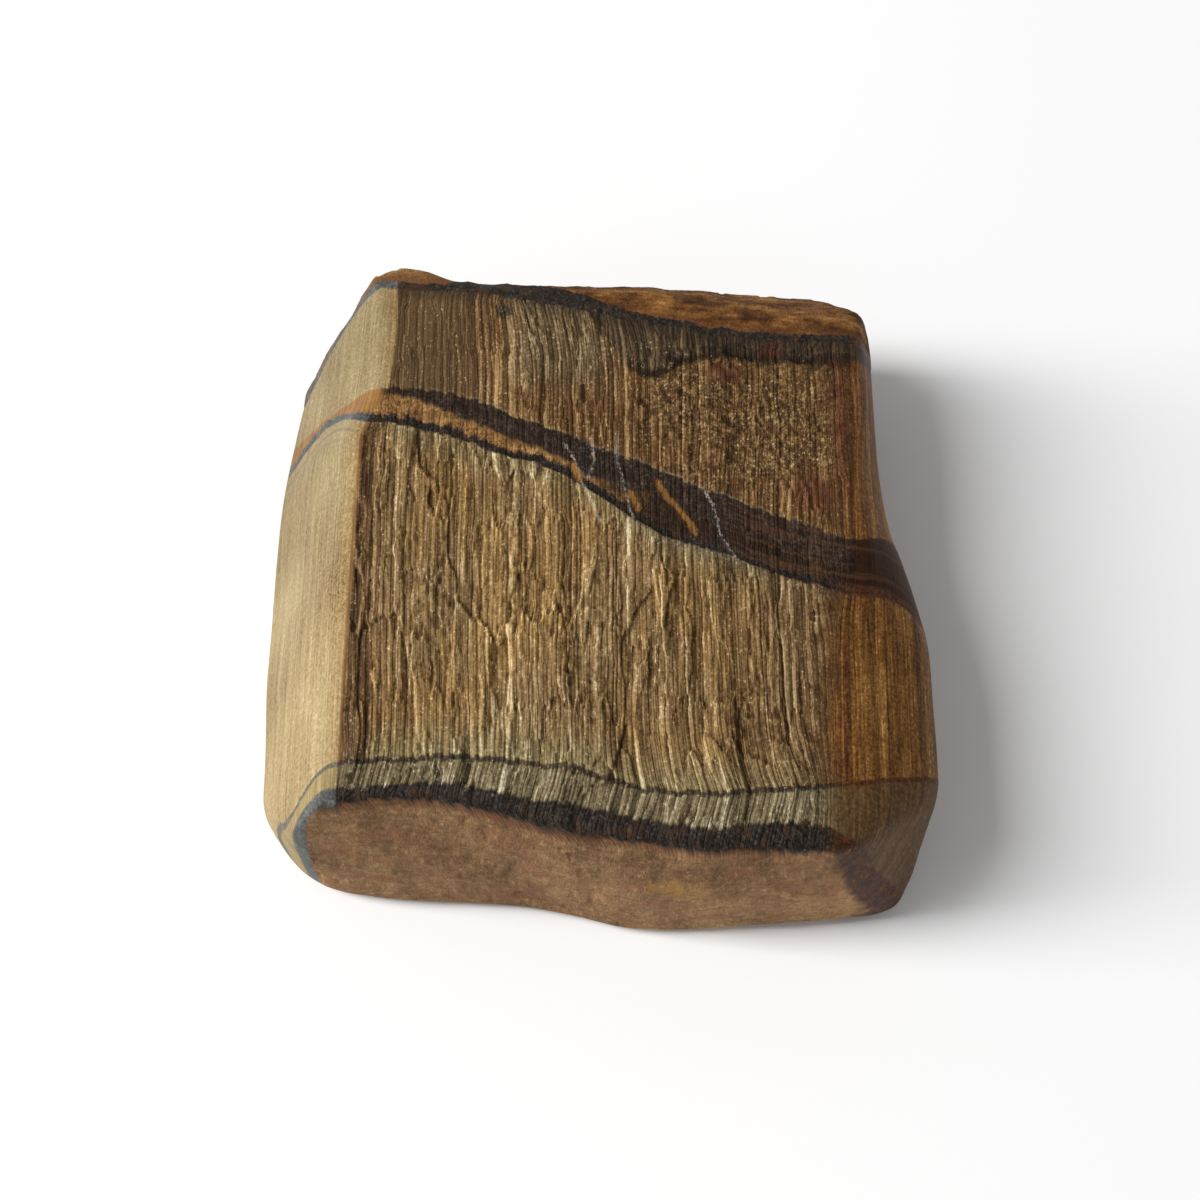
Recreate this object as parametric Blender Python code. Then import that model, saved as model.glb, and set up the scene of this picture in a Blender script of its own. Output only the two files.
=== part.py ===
"""A rough chunk of tiger's eye, one solid stone lying on its flattest side.

Frame: +Z up, origin at the middle of the stone's footprint, on the surface it
rests on. The seam's layers run across X, its fibres run along Y, and the
ironstone that walled the seam is left at both ends, -Y and +Y.

The stone is a primitive cube, subdivided into a grid and pushed out from the
middle until it meets the faces that bound a real chunk: a broken fibrous face on
top, a sawn face on the left, a worn bevel on the right, ironstone at both ends,
and a flat base. Sizes below are in millimetres.
"""

import bmesh
import bpy
import numpy as np

MM = 0.001
NAME = "tigers_eye"

# The cube: how many faces it has along each axis, and how much closer together they are at its edges.
CELLS = (56, 26, 11)
CROWDING = 0.35
MIDDLE = np.array([0.0, 0.0, 10.0])
REACH = 60.0
HALVINGS = 30

# Top: a nearly level broken face.
TOP = 22.0
TOP_FALL_X = 0.0012
TOP_HIGHEST_X = -8.0
TOP_FALL_Y = 0.0013

# Left: a sawn face from the ridge to its widest line. Stations are (y, x).
LEFT_RIDGE = [
    (-26, -21.9), (-20, -21.8), (0, -21.3), (8, -21.1), (11, -20.9), (13, -20.1), (15, -18.9),
    (17, -18.5), (27, -18.3),
]
LEFT_EDGE = [
    (-26, -30.2), (-15, -30.2), (-9, -30.2), (0, -30.0), (6, -29.9), (11, -29.6), (15, -29.1),
    (19, -28.5), (23, -27.8), (28, -26.6),
]
LEFT_WIDEST_Z = 5.0
LEFT_BOW = 0.72
LEFT_TUCK = 1.6

# Right: a worn bevel from the ridge to its outer edge, then a wall that leans in.
RIGHT_RIDGE = [
    (-28, 19.0), (-20.5, 19.1), (-12, 19.3), (-5.5, 20.2), (-1.8, 21.3), (8, 21.9), (17, 22.8),
    (25, 22.4),
]
RIGHT_EDGE = [
    (-27, 28.7), (-21, 29.1), (-17, 29.1), (-11, 29.0), (-5.8, 28.8), (-2.5, 28.2), (1, 27.3),
    (4.5, 26.2), (8, 25.6), (14, 25.2), (20, 25.1), (28, 24.9),
]
RIGHT_EDGE_Z = 15.0
RIGHT_BOW = 2.4
RIGHT_LEAN = 1.8

# Front: the ironstone wall of the seam. Stations are (x, y) at the crest and at the foot.
FRONT_CREST = [
    (-24, -22.9), (-19, -22.4), (-15, -22.3), (-10.7, -23.0), (-6.5, -24.1), (-2.3, -25.2), (3.3, -25.9),
    (9.3, -26.5), (15.7, -26.4), (21, -26.0),
]
FRONT_FOOT = [
    (-26, -24.2), (-18.6, -25.4), (-11.6, -25.8), (-7.1, -26.1), (-2.5, -26.9), (2.6, -28.1),
    (5.5, -28.2), (12.4, -27.8), (19.2, -27.3), (27, -26.5),
]
FRONT_CREST_Z = 20.0
FRONT_BULGE = 0.5

# Back: a worn shoulder of ironstone from the crest to its outer edge. Stations are (x, y) or (x, z).
BACK_CREST = [
    (-20, 26.3), (-15.3, 26.5), (-10.8, 26.5), (-7.2, 26.1), (-3.6, 25.2), (1, 24.4), (5.6, 23.8),
    (12.5, 22.9), (19.4, 22.4), (24, 22.3),
]
BACK_EDGE = [
    (-20.5, 28.7), (-17, 29.3), (-14, 28.5), (-11, 27.9), (-6, 27.8), (0, 28.1), (4, 28.5), (12.9, 29.4),
    (19, 29.7), (25, 29.4),
]
BACK_EDGE_Z = [(-20, 19.4), (-16, 19.6), (-12, 18.3), (-3, 17.0), (4, 16), (13, 14), (19, 12.5), (25, 12)]
BACK_BOW = 2.6
BACK_LEAN = 2.4

# Corners: flat facets, each with its outward normal, distance from the origin and softness of edge.
CORNERS = [
    ((-0.73, -0.69, 0.0), 35.3, 1.8),
    ((0.68, -0.70, 0.21), 36.6, 1.5),
    ((-0.55, 0.83, 0.0), 35.8, 1.8),
    ((0.75, 0.66, 0.10), 37.1, 1.8),
]

# How softly each face runs into the ones before it.
BEVEL_SOFT, RIGHT_SOFT, BACK_SOFT, FRONT_SOFT, LEFT_SOFT, BASE_SOFT = 0.9, 1.8, 1.2, 0.8, 0.5, 1.8

# Layers of the seam that show as relief on the top face: (x, y) along the two sides of the iron band.
BAND_BACK = [
    (-22, 16.6), (-18.5, 15.0), (-15.9, 14.8), (-11.4, 13.8), (-6.9, 12.5), (-0.7, 9.0), (6.5, 6.9),
    (14.2, 3.7), (21.7, 1.9), (27, 2.6),
]
BAND_FRONT = [
    (-22, 11.5), (-15.8, 11.2), (-11.3, 10.1), (-6.9, 8.1), (-2.4, 5.9), (2.5, 2.8), (9.7, -0.4),
    (18.4, -3.0), (22.8, -4.0), (28, -2.7),
]
BAND_SINK = 0.35
BACK_SINK = 0.45

# Broken fibre bundles: the width, length and height of the splinters of each size, from the coarsest.
SPLINTERS = [(3.4, 15.0, 0.24), (1.7, 8.5, 0.20)]
SPLINTER_EDGE = 0.24
LUMPS = [(17.0, 0.35), (7.0, 0.12)]


def along(stations, at):
    """A smooth curve through the stations (place, value), read at each of the places asked for."""
    place, value = np.array(stations, float).T
    slope = np.gradient(value, place)
    i = np.clip(np.searchsorted(place, at) - 1, 0, len(place) - 2)
    step = place[i + 1] - place[i]
    t = np.clip((at - place[i]) / step, 0.0, 1.0)
    rise = value[i + 1] - value[i]
    a = slope[i] * step - rise
    b = rise - slope[i + 1] * step
    return value[i] + t * rise + t * (1 - t) * (a * (1 - t) + b * t)


def ramp(low, high, at):
    t = np.clip((at - low) / (high - low), 0.0, 1.0)
    return t * t * (3 - 2 * t)


def soft_max(a, b, radius):
    """The larger of the two, with a fillet of about this radius where they meet."""
    near = np.maximum(radius - np.abs(a - b), 0.0)
    return np.maximum(a, b) + near * near / (4 * radius)


def dice(i, j, k, seed):
    """A repeatable random number from -1 to 1 for each lattice point."""
    n = i * 73856093 ^ j * 19349663 ^ k * 83492791 ^ (seed + 1) * 2654435761
    n = ((n ^ (n >> 13)) * 1274126177) & 0x7FFFFFFF
    n = ((n ^ (n >> 15)) * 668265263) & 0x7FFFFFFF
    return (n >> 8 & 0xFFFF) / 32767.5 - 1.0


def noise(x, y, z, seed=0):
    """Smooth noise from about -1 to 1, with lumps one unit apart."""
    whole = [np.floor(v).astype(np.int64) for v in (x, y, z)]
    part = [v - w for v, w in zip((x, y, z), whole)]
    fade = [t * t * t * (t * (6 * t - 15) + 10) for t in part]
    total = 0.0
    for corner in np.ndindex(2, 2, 2):
        share = 1.0
        for c, f in zip(corner, fade):
            share = share * (f if c else 1 - f)
        total = total + share * dice(*(w + c for w, c in zip(whole, corner)), seed)
    return total


def splinters(x, y, width, length, seed):
    """Height, from -1 to 1, of fibres broken off in long flat-topped strips whose ends are staggered."""
    across = x / width + 0.35 * noise(x / width, y / length, 0 * x, seed + 50)
    strip = np.floor(across).astype(np.int64)
    side = ramp(0.5 - SPLINTER_EDGE, 0.5 + SPLINTER_EDGE, across - strip)
    height = 0.0
    for n, share in ((strip, 1 - side), (strip + 1, side)):
        start = 8 * dice(n, 0 * n, 0 * n, seed)
        slant = 0.12 * (across - n) * dice(n, 0 * n + 1, 0 * n, seed)
        down = y / length + start + slant
        piece = np.floor(down).astype(np.int64)
        end = ramp(0.5 - SPLINTER_EDGE / 3, 0.5 + SPLINTER_EDGE / 3, down - piece)
        tops = dice(n, piece, 0 * n + 2, seed) * (1 - end) + dice(n, piece + 1, 0 * n + 2, seed) * end
        height = height + share * tops
    return height


def top_height(x, y):
    """The fibrous face: nearly level, sunk along the iron band, lower behind it, ridged by its fibres."""
    level = TOP - TOP_FALL_X * (x - TOP_HIGHEST_X) ** 2 - TOP_FALL_Y * y**2
    past_front = ramp(-0.6, 0.9, y - along(BAND_FRONT, x))
    past_back = ramp(-0.9, 0.9, y - along(BAND_BACK, x))
    sunk = BAND_SINK * past_front * (1 - past_back) + BACK_SINK * past_back
    across = ramp(0.0, 2.5, x - along(LEFT_RIDGE, y)) * ramp(0.0, 2.5, along(RIGHT_RIDGE, y) - x)
    back = ramp(0.3, 3.0, y - along(FRONT_CREST, x)) * ramp(0.3, 3.0, along(BACK_CREST, x) - y)
    relief = 0.0
    for seed, (width, length, rise) in enumerate(SPLINTERS):
        relief = relief + rise * splinters(x, y, width, length, seed)
    return level - sunk + relief * across * back * (1 - 0.7 * past_front)


def bowed(out, power):
    """A straight rise before zero, and a curve that steepens after it."""
    return 0.6 * out + 0.4 * np.maximum(out, 0.0) ** power


def left_face(x, y, z):
    fall = np.clip((TOP - z) / (TOP - LEFT_WIDEST_Z), 0.0, 1.0)
    tuck = np.clip((LEFT_WIDEST_Z - z) / LEFT_WIDEST_Z, 0.0, 1.0)
    ridge, edge = along(LEFT_RIDGE, y), along(LEFT_EDGE, y)
    return (ridge + (edge - ridge) * fall**LEFT_BOW + LEFT_TUCK * tuck**2 - x) * 0.88


def right_bevel(x, y, z):
    ridge, edge = along(RIGHT_RIDGE, y), along(RIGHT_EDGE, y)
    out = (x - ridge) / (edge - ridge)
    crest = TOP - TOP_FALL_X * (ridge - TOP_HIGHEST_X) ** 2 - TOP_FALL_Y * y**2
    return (z - crest + (crest - RIGHT_EDGE_Z) * bowed(out, RIGHT_BOW)) * 0.8


def right_wall(x, y, z):
    below = np.clip((RIGHT_EDGE_Z - z) / RIGHT_EDGE_Z, 0.0, 1.0)
    return x - along(RIGHT_EDGE, y) + RIGHT_LEAN * below**1.5


def front_wall(x, y, z):
    up = np.clip(z / FRONT_CREST_Z, 0.0, 1.1)
    face = along(FRONT_FOOT, x) * (1 - up) + along(FRONT_CREST, x) * up
    return face - FRONT_BULGE * 4 * up * (1 - up) - y


def back_shoulder(x, y, z):
    crest, edge, low = along(BACK_CREST, x), along(BACK_EDGE, x), along(BACK_EDGE_Z, x)
    out = (y - crest) / (edge - crest)
    high = TOP - BACK_SINK - TOP_FALL_X * (x - TOP_HIGHEST_X) ** 2 - TOP_FALL_Y * crest**2
    return (z - high + (high - low) * bowed(out, BACK_BOW)) * 0.75


def back_wall(x, y, z):
    low = along(BACK_EDGE_Z, x)
    below = np.clip((low - z) / low, 0.0, 1.0)
    return y - along(BACK_EDGE, x) + BACK_LEAN * below**1.5


def lumps(x, y, z):
    """Slow waviness that no natural face is without."""
    total = 0.0
    for seed, (size, rise) in enumerate(LUMPS):
        total = total + rise * noise(x / size, y / size, z / size, 20 + seed)
    return total


def outside(points):
    """How far each point lies outside the stone, in about millimetres; negative inside it."""
    x, y, z = points.T
    depth = z - top_height(x, y)
    depth = soft_max(depth, right_bevel(x, y, z), BEVEL_SOFT)
    depth = soft_max(depth, right_wall(x, y, z), RIGHT_SOFT)
    depth = soft_max(depth, back_shoulder(x, y, z), BACK_SOFT)
    depth = soft_max(depth, back_wall(x, y, z), BACK_SOFT)
    depth = soft_max(depth, front_wall(x, y, z), FRONT_SOFT)
    depth = soft_max(depth, left_face(x, y, z), LEFT_SOFT)
    for normal, distance, soft in CORNERS:
        depth = soft_max(depth, points @ np.array(normal) - distance, soft)
    depth = depth + lumps(x, y, z) * ramp(0.0, 5.0, z)
    return soft_max(depth, -z, BASE_SOFT)


def cube_grid(cells):
    """A cube from -1 to 1, with its faces cut into this many cells along X, Y and Z."""
    mesh = bmesh.new()
    bmesh.ops.create_cube(mesh, size=2.0)
    for axis, count in enumerate(cells):
        running = [e for e in mesh.edges if abs(e.verts[0].co[axis] - e.verts[1].co[axis]) > 1.0]
        bmesh.ops.subdivide_edges(mesh, edges=running, cuts=count - 1, use_grid_fill=False)
    return mesh


def between(u, v, left, right, front, back):
    """Where the point that is this far across and this far back lies, between four wavy sides."""
    x, y = 45 * u - 22, 48 * v - 25
    for _ in range(6):
        x = along(left, y) * (1 - u) + along(right, y) * u
        y = along(front, x) * (1 - v) + along(back, x) * v
    return x, y


def block(unit):
    """The cube's points moved to a block with the stone's own sides, its edges along the ridges."""
    crowded = unit * (1 + CROWDING * (1 - unit**2))
    u, v, w = ((crowded + 1) / 2).T
    crest_x, crest_y = between(u, v, LEFT_RIDGE, RIGHT_RIDGE, FRONT_CREST, BACK_CREST)
    foot_x, foot_y = between(u, v, LEFT_EDGE, RIGHT_EDGE, FRONT_FOOT, BACK_EDGE)
    return np.column_stack([foot_x * (1 - w) + crest_x * w, foot_y * (1 - w) + crest_y * w, TOP * w])


def pushed_out(points):
    """Each point moved along its line from the middle of the stone until it lies on its surface."""
    ray = points - MIDDLE
    ray /= np.linalg.norm(ray, axis=1)[:, None]
    near, far = np.zeros(len(ray)), np.full(len(ray), REACH)
    for _ in range(HALVINGS):
        half = (near + far) / 2
        within = outside(MIDDLE + ray * half[:, None]) < 0
        near, far = np.where(within, half, near), np.where(within, far, half)
    return MIDDLE + ray * near[:, None]


def centred(points):
    """The points with the middle of their footprint over the origin and the lowest at zero."""
    low, high = points.min(0), points.max(0)
    return points - [(low[0] + high[0]) / 2, (low[1] + high[1]) / 2, low[2]]


def stone_material():
    material = bpy.data.materials.new("tigers_eye")
    material.use_nodes = True
    shader = material.node_tree.nodes["Principled BSDF"]
    shader.inputs["Base Color"].default_value = (0.21, 0.135, 0.06, 1)
    shader.inputs["Roughness"].default_value = 0.5
    shader.inputs["Metallic"].default_value = 0.0
    return material


def make_stone():
    grid = cube_grid(CELLS)
    unit = np.array([v.co for v in grid.verts])
    for vert, place in zip(grid.verts, centred(pushed_out(block(unit)))):
        vert.co = place * MM
    bmesh.ops.recalc_face_normals(grid, faces=grid.faces)
    mesh = bpy.data.meshes.new(NAME)
    grid.to_mesh(mesh)
    grid.free()
    mesh.shade_smooth()
    mesh.materials.append(stone_material())
    return bpy.data.objects.new(NAME, mesh)


def main():
    for obj in list(bpy.data.objects):
        bpy.data.objects.remove(obj)
    collection = bpy.data.collections.new("rough_tigers_eye")
    bpy.context.scene.collection.children.link(collection)
    collection.objects.link(make_stone())


main()
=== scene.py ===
"""A rough chunk of tiger's eye: its fine broken surface, its colours, the light and the camera.

The stone is the same shape as the solid, made from the same named sizes, on a far finer grid. The fibres'
splinters, grooves and pits are then raised in its mesh. Lengths are in millimetres until a mesh is written.
"""

import math

import bmesh
import bpy
import numpy as np
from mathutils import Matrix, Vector


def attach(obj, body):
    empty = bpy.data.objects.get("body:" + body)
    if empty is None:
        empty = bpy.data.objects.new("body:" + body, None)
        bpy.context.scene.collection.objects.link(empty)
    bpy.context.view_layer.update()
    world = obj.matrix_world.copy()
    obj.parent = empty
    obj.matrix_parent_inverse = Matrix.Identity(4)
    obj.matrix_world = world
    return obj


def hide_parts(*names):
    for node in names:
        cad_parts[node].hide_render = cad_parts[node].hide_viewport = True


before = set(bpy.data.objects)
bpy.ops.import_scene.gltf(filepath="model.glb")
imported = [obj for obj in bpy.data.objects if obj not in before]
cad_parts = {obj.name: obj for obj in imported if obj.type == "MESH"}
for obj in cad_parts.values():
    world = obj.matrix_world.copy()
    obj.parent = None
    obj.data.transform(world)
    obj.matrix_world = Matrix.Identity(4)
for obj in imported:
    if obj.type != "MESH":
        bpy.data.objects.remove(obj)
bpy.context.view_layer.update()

MM = 0.001
NODE = "tigers_eye"

# ---- The stone's form: the same sizes as the solid's ----

CAD_CELLS = (56, 26, 11)
CAD_CROWDING = 0.35
MIDDLE = np.array([0.0, 0.0, 10.0])
REACH = 60.0

TOP = 22.0
TOP_FALL_X = 0.0012
TOP_HIGHEST_X = -8.0
TOP_FALL_Y = 0.0013

LEFT_RIDGE = [
    (-26, -21.9), (-20, -21.8), (0, -21.3), (8, -21.1), (11, -20.9), (13, -20.1), (15, -18.9),
    (17, -18.5), (27, -18.3),
]
LEFT_EDGE = [
    (-26, -30.2), (-15, -30.2), (-9, -30.2), (0, -30.0), (6, -29.9), (11, -29.6), (15, -29.1),
    (19, -28.5), (23, -27.8), (28, -26.6),
]
LEFT_WIDEST_Z = 5.0
LEFT_BOW = 0.72
LEFT_TUCK = 1.6

RIGHT_RIDGE = [
    (-28, 19.0), (-20.5, 19.1), (-12, 19.3), (-5.5, 20.2), (-1.8, 21.3), (8, 21.9), (17, 22.8),
    (25, 22.4),
]
RIGHT_EDGE = [
    (-27, 28.7), (-21, 29.1), (-17, 29.1), (-11, 29.0), (-5.8, 28.8), (-2.5, 28.2), (1, 27.3),
    (4.5, 26.2), (8, 25.6), (14, 25.2), (20, 25.1), (28, 24.9),
]
RIGHT_EDGE_Z = 15.0
RIGHT_BOW = 2.4
RIGHT_LEAN = 1.8

FRONT_CREST = [
    (-24, -22.9), (-19, -22.4), (-15, -22.3), (-10.7, -23.0), (-6.5, -24.1), (-2.3, -25.2), (3.3, -25.9),
    (9.3, -26.5), (15.7, -26.4), (21, -26.0),
]
FRONT_FOOT = [
    (-26, -24.2), (-18.6, -25.4), (-11.6, -25.8), (-7.1, -26.1), (-2.5, -26.9), (2.6, -28.1),
    (5.5, -28.2), (12.4, -27.8), (19.2, -27.3), (27, -26.5),
]
FRONT_CREST_Z = 20.0
FRONT_BULGE = 0.5

BACK_CREST = [
    (-20, 26.3), (-15.3, 26.5), (-10.8, 26.5), (-7.2, 26.1), (-3.6, 25.2), (1, 24.4), (5.6, 23.8),
    (12.5, 22.9), (19.4, 22.4), (24, 22.3),
]
BACK_EDGE = [
    (-20.5, 28.7), (-17, 29.3), (-14, 28.5), (-11, 27.9), (-6, 27.8), (0, 28.1), (4, 28.5), (12.9, 29.4),
    (19, 29.7), (25, 29.4),
]
BACK_EDGE_Z = [(-20, 19.4), (-16, 19.6), (-12, 18.3), (-3, 17.0), (4, 16), (13, 14), (19, 12.5), (25, 12)]
BACK_BOW = 2.6
BACK_LEAN = 2.4

CORNERS = [
    ((-0.73, -0.69, 0.0), 35.3, 1.8),
    ((0.68, -0.7, 0.21), 36.6, 1.5),
    ((-0.55, 0.83, 0.0), 35.8, 1.8),
    ((0.75, 0.66, 0.1), 37.1, 1.8),
]
BEVEL_SOFT, RIGHT_SOFT, BACK_SOFT, FRONT_SOFT, LEFT_SOFT, BASE_SOFT = 0.9, 1.8, 1.2, 0.8, 0.5, 1.8

BAND_BACK = [
    (-22, 16.6), (-18.5, 15.0), (-15.9, 14.8), (-11.4, 13.8), (-6.9, 12.5), (-0.7, 9.0), (6.5, 6.9),
    (14.2, 3.7), (21.7, 1.9), (27, 2.6),
]
BAND_FRONT = [
    (-22, 11.5), (-15.8, 11.2), (-11.3, 10.1), (-6.9, 8.1), (-2.4, 5.9), (2.5, 2.8), (9.7, -0.4),
    (18.4, -3.0), (22.8, -4.0), (28, -2.7),
]
BAND_SINK = 0.35
BACK_SINK = 0.45

SPLINTERS = [(3.4, 15.0, 0.24), (1.7, 8.5, 0.2)]
SPLINTER_EDGE = 0.24
LUMPS = [(17.0, 0.35), (7.0, 0.12)]

# ---- The fine surface ----

CELLS = (470, 200, 40)
CROWDING = 0.1
HALVINGS = 17
# How far off, in mm, a point's height is compared with, to tell a groove from a crest, for painted shade in
# grooves and painted highlight on crests.
CAVITY_REACH = [(-0.35, 0.0), (0.35, 0.0), (-0.15, -0.5), (0.15, 0.5)]
MOST_TRIANGLES = 194_000

# The edges between the seam's layers, as (x, y) from the front of the stone to the back.
IRONSTONE_FRONT = [
    (-31, -31), (-26.5, -27), (-25.2, -24.1), (-24.3, -23.2), (-21.7, -22.6), (-15, -22.2),
    (-10.7, -22.9), (-6.5, -24.0), (-2.3, -25.2), (3.3, -25.8), (9.3, -26.5), (15.7, -26.4), (19, -26.3),
    (20.9, -26.8), (24, -27.0), (31, -27.4),
]
BLACK_BAND = [
    (-31, -25.5), (-27.6, -23.9), (-25.7, -23.0), (-24.7, -22.2), (-23.2, -21.5), (-20, -21.3),
    (-14.4, -20.8), (-10.7, -21.2), (-6.5, -22.1), (-2.3, -22.8), (4.9, -24.0), (9.3, -24.6),
    (18.8, -24.3), (20.8, -25.3), (31, -24.6),
]
THIN_LINE = [
    (-31, -21.4), (-28.4, -21.2), (-26.6, -22.2), (-24.8, -20.8), (-23.6, -19.9), (-20.7, -19.1),
    (-14.5, -18.8), (-10.8, -18.8), (-6.5, -19.2), (-2.3, -19.8), (4.1, -21.3), (8.3, -21.7),
    (16.6, -21.2), (23.4, -20.0), (31, -18.0),
]
IRON_FRONT = [
    (-31, 13.4), (-28.9, 14.2), (-25.2, 15.2), (-23.4, 14.3), (-21.0, 12.4), (-19.3, 12.2), (-15.8, 11.4),
    (-12.2, 10.4), (-8.7, 8.8), (-5.2, 7.9), (-1.7, 6.1), (1.7, 3.7), (5.2, 1.4), (8.6, 0.4), (12, -0.9),
    (15.4, -2.2), (18.8, -3.2), (22.3, -3.7), (26, -3.5), (28, -4.6), (31, -6.0),
]
IRON_BACK = [
    (-31, 17.5), (-27.5, 16.8), (-25.7, 16.6), (-23.4, 15.9), (-20.8, 15.7), (-18.4, 15.8), (-15.9, 15.7),
    (-14.1, 15.3), (-10.6, 14.2), (-7, 12.5), (-3.5, 11.2), (0, 9.5), (3.5, 8.3), (7, 6.8), (10.4, 5.3),
    (13.9, 4.0), (17.3, 2.9), (21.8, 1.5), (25.8, 3.0), (31, 4.0),
]
RAGGED_LINE = [
    (-31, 31), (-6, 31), (-2.6, 26), (-0.8, 22.5), (1.2, 19.2), (3.5, 17.3), (5.3, 17.3), (7.1, 18.2),
    (8.9, 19.0), (10.7, 19.4), (14.2, 19.1), (20.5, 19.0), (31, 19.1),
]
BACK_LINE = [
    (-31, 18), (-29, 20.6), (-27, 22.9), (-25, 24.5), (-23.2, 25.7), (-21, 26.5), (-15.4, 26.2),
    (-10.8, 25.7), (-7.2, 25.2), (-3.6, 24.2), (1.0, 22.9), (5.5, 22.1), (12.4, 21.1), (22.3, 21.1),
    (31, 20.6),
]

BUNDLE_WIDTH = 0.95
FIBRE_WIDTH = 0.42
HAIR_WIDTH = 0.19
# Broken fibres, finer than the solid carries: the width, length and height of each size of splinter.
FINE_SPLINTERS = [(BUNDLE_WIDTH, 9.0, 0.08), (FIBRE_WIDTH, 6.0, 0.06)]
# Sheets of fibres left standing: the width and length of each size of sheet, and its thickness.
TERRACES = [(3.6, 13.0, 0.18), (1.7, 5.5, 0.11), (0.9, 2.2, 0.055)]
# Patches on the top face, as (x, y, half-width, half-length): torn fibres, and grainy broken stone.
TORN = [(-14.0, -5.5, 3.2, 3.6), (-7.6, -4.0, 1.6, 8.0), (-1.0, -9.0, 3.0, 9.0), (12.0, -15.0, 3.0, 4.0)]
GRAINY = [(15.5, 12.0, 8.5, 7.0), (9.0, 14.0, 6.0, 5.0)]
RED_STAINS = [
    (18.5, 6.2, 2.4, 2.2), (21.3, 12.5, 1.2, 6.0), (10.8, 17.2, 2.0, 1.0), (20.8, -8.5, 1.3, 6.5),
    (15.3, 20.0, 1.0, 0.9),
]
BLOTS = [(-8.5, 23.6, 0.9, 0.9), (-1.3, 8.9, 0.7, 1.6)]
# Cracks across the iron band, as points (x, y): healed with pale quartz, or with orange ironstone.
PALE_CRACKS = [
    [(-3.1, 10.0), (-2.3, 8.7), (-1.9, 7.5), (-1.6, 6.4), (-0.9, 5.0), (0.0, 2.5)],
    [(-0.7, 10.6), (-0.5, 8.3), (-1.0, 6.8)],
    [(1.6, 11.2), (1.5, 8.5), (2.1, 6.3), (2.4, 4.7), (2.9, 3.0)],
    [(9.0, 6.0), (9.8, 4.4), (10.2, 2.5), (10.4, 1.5), (11.6, -0.4)],
]
ORANGE_CRACKS = [
    [(5.0, 6.5), (5.7, 5.2), (6.7, 4.1), (7.6, 2.8), (8.2, 1.7)],
    [(2.6, 5.4), (3.3, 3.9)],
    [(-2.3, 8.0), (-1.8, 6.6)],
]

# ---- Camera and light ----

# In metres.
KEY_SIZE = (0.34, 1.05)
FLOOR_RADIUS = 6.0

CAMERA_DISTANCE = 220.0
CAMERA_ELEVATION = 68.0
LOOK_AT = np.array([0.0, 0.0, 10.0])
SENSOR = 36.0
LENS = 73.26
KEY_DISTANCE = 1200.0
KEY_ELEVATION = 42.0
KEY_WATTS = 17.8
SKY = 0.345
SKY_SEEN = 1.0
WHITE = (1, 1, 1, 1)
FLOOR_WHITE = (0.95, 0.95, 0.95, 1)


def along(stations, at):
    """A smooth curve through the stations (place, value), read at each of the places asked for."""
    place, value = np.array(stations, float).T
    slope = np.gradient(value, place)
    i = np.clip(np.searchsorted(place, at) - 1, 0, len(place) - 2)
    step = place[i + 1] - place[i]
    t = np.clip((at - place[i]) / step, 0.0, 1.0)
    rise = value[i + 1] - value[i]
    a = slope[i] * step - rise
    b = rise - slope[i + 1] * step
    return value[i] + t * rise + t * (1 - t) * (a * (1 - t) + b * t)


def ramp(low, high, at):
    t = np.clip((at - low) / (high - low), 0.0, 1.0)
    return t * t * (3 - 2 * t)


def soft_max(a, b, radius):
    """The larger of the two, with a fillet of about this radius where they meet."""
    near = np.maximum(radius - np.abs(a - b), 0.0)
    return np.maximum(a, b) + near * near / (4 * radius)


def dice(i, j, k, seed):
    """A repeatable random number from -1 to 1 for each lattice point."""
    n = i * 73856093 ^ j * 19349663 ^ k * 83492791 ^ (seed + 1) * 2654435761
    n = ((n ^ (n >> 13)) * 1274126177) & 0x7FFFFFFF
    n = ((n ^ (n >> 15)) * 668265263) & 0x7FFFFFFF
    return (n >> 8 & 0xFFFF) / 32767.5 - 1.0


def noise(x, y, z, seed=0):
    """Smooth noise from about -1 to 1, with lumps one unit apart."""
    whole = [np.floor(v).astype(np.int64) for v in (x, y, z)]
    part = [v - w for v, w in zip((x, y, z), whole)]
    fade = [t * t * t * (t * (6 * t - 15) + 10) for t in part]
    total = 0.0
    for corner in np.ndindex(2, 2, 2):
        share = 1.0
        for c, f in zip(corner, fade):
            share = share * (f if c else 1 - f)
        total = total + share * dice(*(w + c for w, c in zip(whole, corner)), seed)
    return total


def splinters(x, y, width, length, seed):
    """Height, from -1 to 1, of fibres broken off in long flat-topped strips whose ends are staggered."""
    across = x / width + 0.35 * noise(x / width, y / length, 0 * x, seed + 50)
    strip = np.floor(across).astype(np.int64)
    side = ramp(0.5 - SPLINTER_EDGE, 0.5 + SPLINTER_EDGE, across - strip)
    height = 0.0
    for n, share in ((strip, 1 - side), (strip + 1, side)):
        start = 8 * dice(n, 0 * n, 0 * n, seed)
        slant = 0.12 * (across - n) * dice(n, 0 * n + 1, 0 * n, seed)
        down = y / length + start + slant
        piece = np.floor(down).astype(np.int64)
        end = ramp(0.5 - SPLINTER_EDGE / 3, 0.5 + SPLINTER_EDGE / 3, down - piece)
        tops = dice(n, piece, 0 * n + 2, seed) * (1 - end) + dice(n, piece + 1, 0 * n + 2, seed) * end
        height = height + share * tops
    return height


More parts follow.
